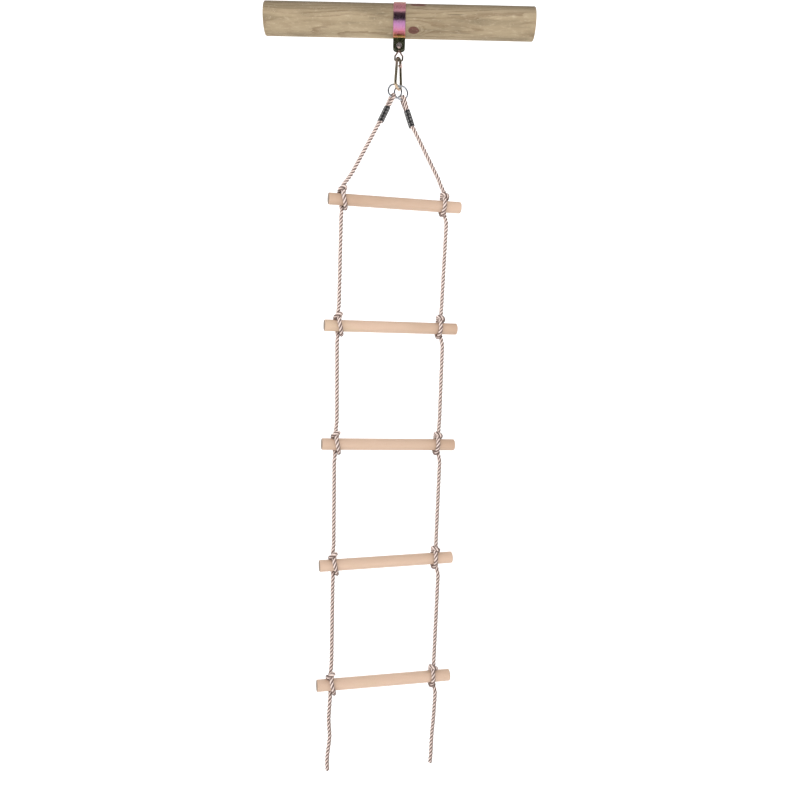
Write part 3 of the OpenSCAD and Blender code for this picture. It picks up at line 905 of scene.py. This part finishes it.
def ring_piece(side):
    """A torus: a round wire carried round a circle in an upright plane."""
    low, high = (np.array(c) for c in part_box(f"ring_{SIDES[side]}"))
    around = np.linspace(0, 2 * math.pi, RING_AROUND, endpoint=False)[:, None]
    wire = np.linspace(0, 2 * math.pi, RING_WIRE, endpoint=False)[None]
    out = RING_R + WIRE_R * np.cos(wire)
    local = np.stack([out * np.cos(around), WIRE_R * np.sin(wire) + 0 * around, out * np.sin(around)], -1)
    points = (low + high) / 2 + turned(local.reshape(-1, 3), RING_TURN)
    i, j = np.meshgrid(np.arange(RING_AROUND), np.arange(RING_WIRE), indexing="ij")
    a, b = (i + 1) % RING_AROUND, (j + 1) % RING_WIRE
    quads = np.stack([i * RING_WIRE + j, i * RING_WIRE + b, a * RING_WIRE + b, a * RING_WIRE + j], -1)
    quads = quads.reshape(-1, 4)
    return new_piece(f"ring_{SIDES[side]}_wire", points, quads.tolist())


def sleeve_piece(side):
    """Stadium rings down the sleeve: the outline's radius follows a rolled rim at both ends."""
    middle, axes = eye_frame(side)
    wall, inside = ROPE_R + 2.2 * MM, ROPE_R - 0.6 * MM
    roll = np.linspace(0, math.pi, 9)
    rim_z = -1.2 * MM * np.sin(roll)
    rim_r = inside + (wall - inside) * (1 - np.cos(roll)) / 2
    run = np.linspace(0, 1, 70)[1:-1]
    depth = np.concatenate([[6 * MM], 1.2 * MM + rim_z, 1.2 * MM + run * (SLEEVE_LEN - 2.4 * MM),
                            SLEEVE_LEN - 1.2 * MM - rim_z[::-1], [SLEEVE_LEN - 6 * MM]])
    radius = np.concatenate([[inside], rim_r, np.full(68, wall), rim_r[::-1], [inside]])
    angle = np.linspace(0, 2 * math.pi, 72, endpoint=False)
    place = (np.arange(DIMPLES) + 0.5) / DIMPLES * (SLEEVE_LEN - 8 * MM) + 4 * MM
    off_z = (depth[:, None] - place[None])[:, None]
    off_a = np.abs((angle[:, None] + math.pi / 4) % (math.pi / 2) - math.pi / 4)[None] * wall
    far = np.sqrt(off_z**2 + off_a**2) / (2.6 * MM)
    dent = (0.55 * MM * np.exp(-far**2) - 0.22 * MM * np.exp(-(far - 1.5)**2 * 5)).sum(-1)
    radius = radius[:, None] - np.where(radius[:, None] > wall - 0.1 * MM, dent, 0)
    shift = LEG_HALF * np.tanh(np.cos(angle) * 3)
    local = np.stack([shift + radius * np.cos(angle), radius * np.sin(angle),
                      SLEEVE_TOP - depth[:, None] + 0 * radius], -1)
    rings = middle + (local.reshape(-1, 3) @ axes).reshape(local.shape)
    return skin(f"sleeve_{SIDES[side]}_pressed", rings[:, ::-1], v=depth / SLEEVE_LEN)


steel_rings, sleeves = [], []
for side, word in SIDES.items():
    piece = ring_piece(side)
    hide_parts(f"ring_{word}")
    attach(piece, "rings")
    steel_rings.append(piece)
    piece = sleeve_piece(side)
    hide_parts(f"sleeve_{word}")
    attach(piece, "bay_1")
    sleeves.append(piece)
print("rings and sleeves made")

# %% [markdown]
# ## Metal finishes
#
# The strap is zinc plated and yellow passivated. The thin clear film on it shows colours that change with
# its thickness: pink and purple round the beam, gold and green where it was bent, and nearly black on the
# ears. The bands also carry painted reflection: the bright pink under the beam stands for the white floor
# seen in the metal, the bright pink on top for the light above, and the near black of the ears for the dark
# room in front. The link, hook and gate are banded the same way: their dark bronze is partly painted
# reflection of the dark room, and the pale golden pink at the hook's bow is partly a painted highlight.
# The colours are set out by height, with noise to break up the borders.


# %% Metal, plastic and nylon
def banded_metal(name, stops, low, high, roughness, wander):
    """Metal whose colour runs through stops of height from low to high, in metres."""
    f = Finish(name, metallic=1.0)
    height = f.split(f.where())[2]
    drift = f.math("MULTIPLY", f.math("SUBTRACT", f.noise(f.where(), 60, 3), 0.5), wander)
    place = f.math("DIVIDE", f.math("SUBTRACT", f.math("ADD", height, drift), low), high - low)
    color = f.ramp(place, [((z - low) / (high - low), c) for z, c in stops])
    grain = f.noise(f.where(), 700, 2)
    color = f.mix(f.between(grain, 0.35, 0.75, 0, 0.18), color, (0.75, 0.70, 0.62))
    rough = f.between(grain, 0.3, 0.7, roughness - 0.05, roughness + 0.08)
    return f.done(color, rough, f.bump(grain, 0.04 * MM, 0.4))


# Painted reflection mixed with the film's colour: bright pink under the beam for the white floor, bright pink
# on top for the light above, near black on the ears for the dark room in front.
strap_film_and_reflection = banded_metal("rainbow_zinc_and_painted_reflection", [
    (-0.086, (0.085, 0.095, 0.045)), (-0.057, (0.10, 0.12, 0.05)), (-0.0535, (0.38, 0.56, 0.16)),
    (-0.051, (0.62, 0.34, 0.12)), (-0.047, (0.60, 0.16, 0.15)), (-0.042, (0.52, 0.16, 0.27)),
    (-0.036, (0.46, 0.18, 0.34)), (-0.028, (0.40, 0.16, 0.36)), (-0.014, (0.24, 0.13, 0.22)),
    (0.008, (0.52, 0.22, 0.27)), (0.028, (0.80, 0.30, 0.34)), (0.043, (0.80, 0.40, 0.24))],
    -0.09, 0.05, 0.26, 0.012)
# Painted reflection: the dark lower wire of the link stands for the dark room seen in the metal.
link_zinc = banded_metal("link_zinc", [
    (-0.122, (0.13, 0.11, 0.075)), (-0.108, (0.20, 0.15, 0.11)), (-0.096, (0.52, 0.34, 0.32)),
    (-0.066, (0.30, 0.22, 0.18))], -0.125, -0.06, 0.30, 0.004)
# Painted reflection and highlight: the dark bronze wires stand for the dark room seen in the metal, and the
# pale golden pink at the bow is partly a painted highlight.
hook_zinc = banded_metal("hook_zinc", [
    (-0.205, (0.66, 0.48, 0.34)), (-0.190, (0.52, 0.40, 0.25)), (-0.178, (0.20, 0.165, 0.095)),
    (-0.140, (0.17, 0.14, 0.085)), (-0.127, (0.34, 0.25, 0.20)), (-0.112, (0.15, 0.12, 0.08))],
    -0.21, -0.105, 0.28, 0.006)
# Painted reflection: the dark bronze of the lower gate stands for the dark room seen in the metal.
gate_zinc = banded_metal("gate_zinc", [
    (-0.185, (0.22, 0.18, 0.10)), (-0.150, (0.19, 0.16, 0.09)), (-0.137, (0.30, 0.23, 0.17)),
    (-0.131, (0.78, 0.58, 0.54)), (-0.120, (0.80, 0.60, 0.56))], -0.19, -0.11, 0.30, 0.004)


def plain_metal(name, color, roughness):
    """Metal of one colour, with a fine uneven polish."""
    f = Finish(name, metallic=1.0)
    grain = f.noise(f.where(), 500, 2)
    color = f.mix(f.between(grain, 0.3, 0.7, 0, 0.2), color, tuple(0.75 * c for c in color))
    return f.done(color, f.between(grain, 0.3, 0.7, roughness - 0.05, roughness + 0.08))


def satin_black():
    """Satin black plastic, with a painted highlight: paler in a small ring round each pressed dimple."""
    f = Finish("satin_black", specular_ior_level=0.3)
    grain = f.noise(f.where(), 260, 3)
    color = f.mix(f.between(grain, 0.55, 0.75), (0.011, 0.011, 0.012), (0.035, 0.034, 0.034))
    u, v, _ = f.split(f.add("UVMap", uv_map="lay"))
    across = f.math("SUBTRACT", f.math("FRACT", f.math("ADD", f.math("MULTIPLY", u, 4), 0.5)), 0.5)
    along = f.math("SUBTRACT", f.math("FRACT", f.math("MULTIPLY", f.math("SUBTRACT", v, 0.08), 4.762)), 0.5)
    from_dimple = f.vector("MULTIPLY", f.add("CombineXYZ", {0: across, 1: along}), (11.3, 10.5, 0))
    far = f.vector("LENGTH", from_dimple, output=1)
    # Painted highlight: a paler ring round each dimple, where its raised rim would catch the light.
    wear_and_painted_highlight = f.math("MULTIPLY", f.between(far, 1.5, 2.4), f.between(far, 4.0, 3.0))
    color = f.mix(f.math("MULTIPLY", wear_and_painted_highlight, f.between(grain, 0.38, 0.6, 0.25, 0.9)), color, (0.40, 0.38, 0.37))
    return f.done(color, f.between(grain, 0.3, 0.7, 0.34, 0.5), f.bump(grain, 0.1 * MM, 0.4))


def nylon():
    """Off-white nylon that lets a little light in."""
    f = Finish("nylon", roughness=0.45, subsurface_weight=0.1, subsurface_scale=0.002)
    tone = f.noise(f.where(), 120, 2)
    return f.done(f.mix(f.between(tone, 0.3, 0.7), (0.80, 0.79, 0.75), (0.72, 0.71, 0.66)))


def paint(material, *pieces):
    """Gives pieces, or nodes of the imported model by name, one finish."""
    for piece in pieces:
        mesh = (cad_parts[piece] if isinstance(piece, str) else piece).data
        mesh.materials.clear()
        mesh.materials.append(material)


bright_zinc = plain_metal("bolt_zinc", (0.80, 0.68, 0.66), 0.24)
ring_zinc = plain_metal("ring_zinc", (0.56, 0.59, 0.64), 0.20)
sleeve_black = satin_black()
paint(strap_film_and_reflection, strap, "clamp_strap")
paint(bright_zinc, "clamp_bolt", "clamp_nut", "bolt_washers", "gate_rivet")
paint(nylon(), "bolt_bush")
paint(link_zinc, "delta_link")
paint(hook_zinc, "hook_body")
paint(gate_zinc, "hook_gate")
paint(plain_metal("spring_steel", (0.60, 0.60, 0.60), 0.25), "gate_plunger", "gate_spring")
paint(ring_zinc, *steel_rings)
paint(sleeve_black, *sleeves)
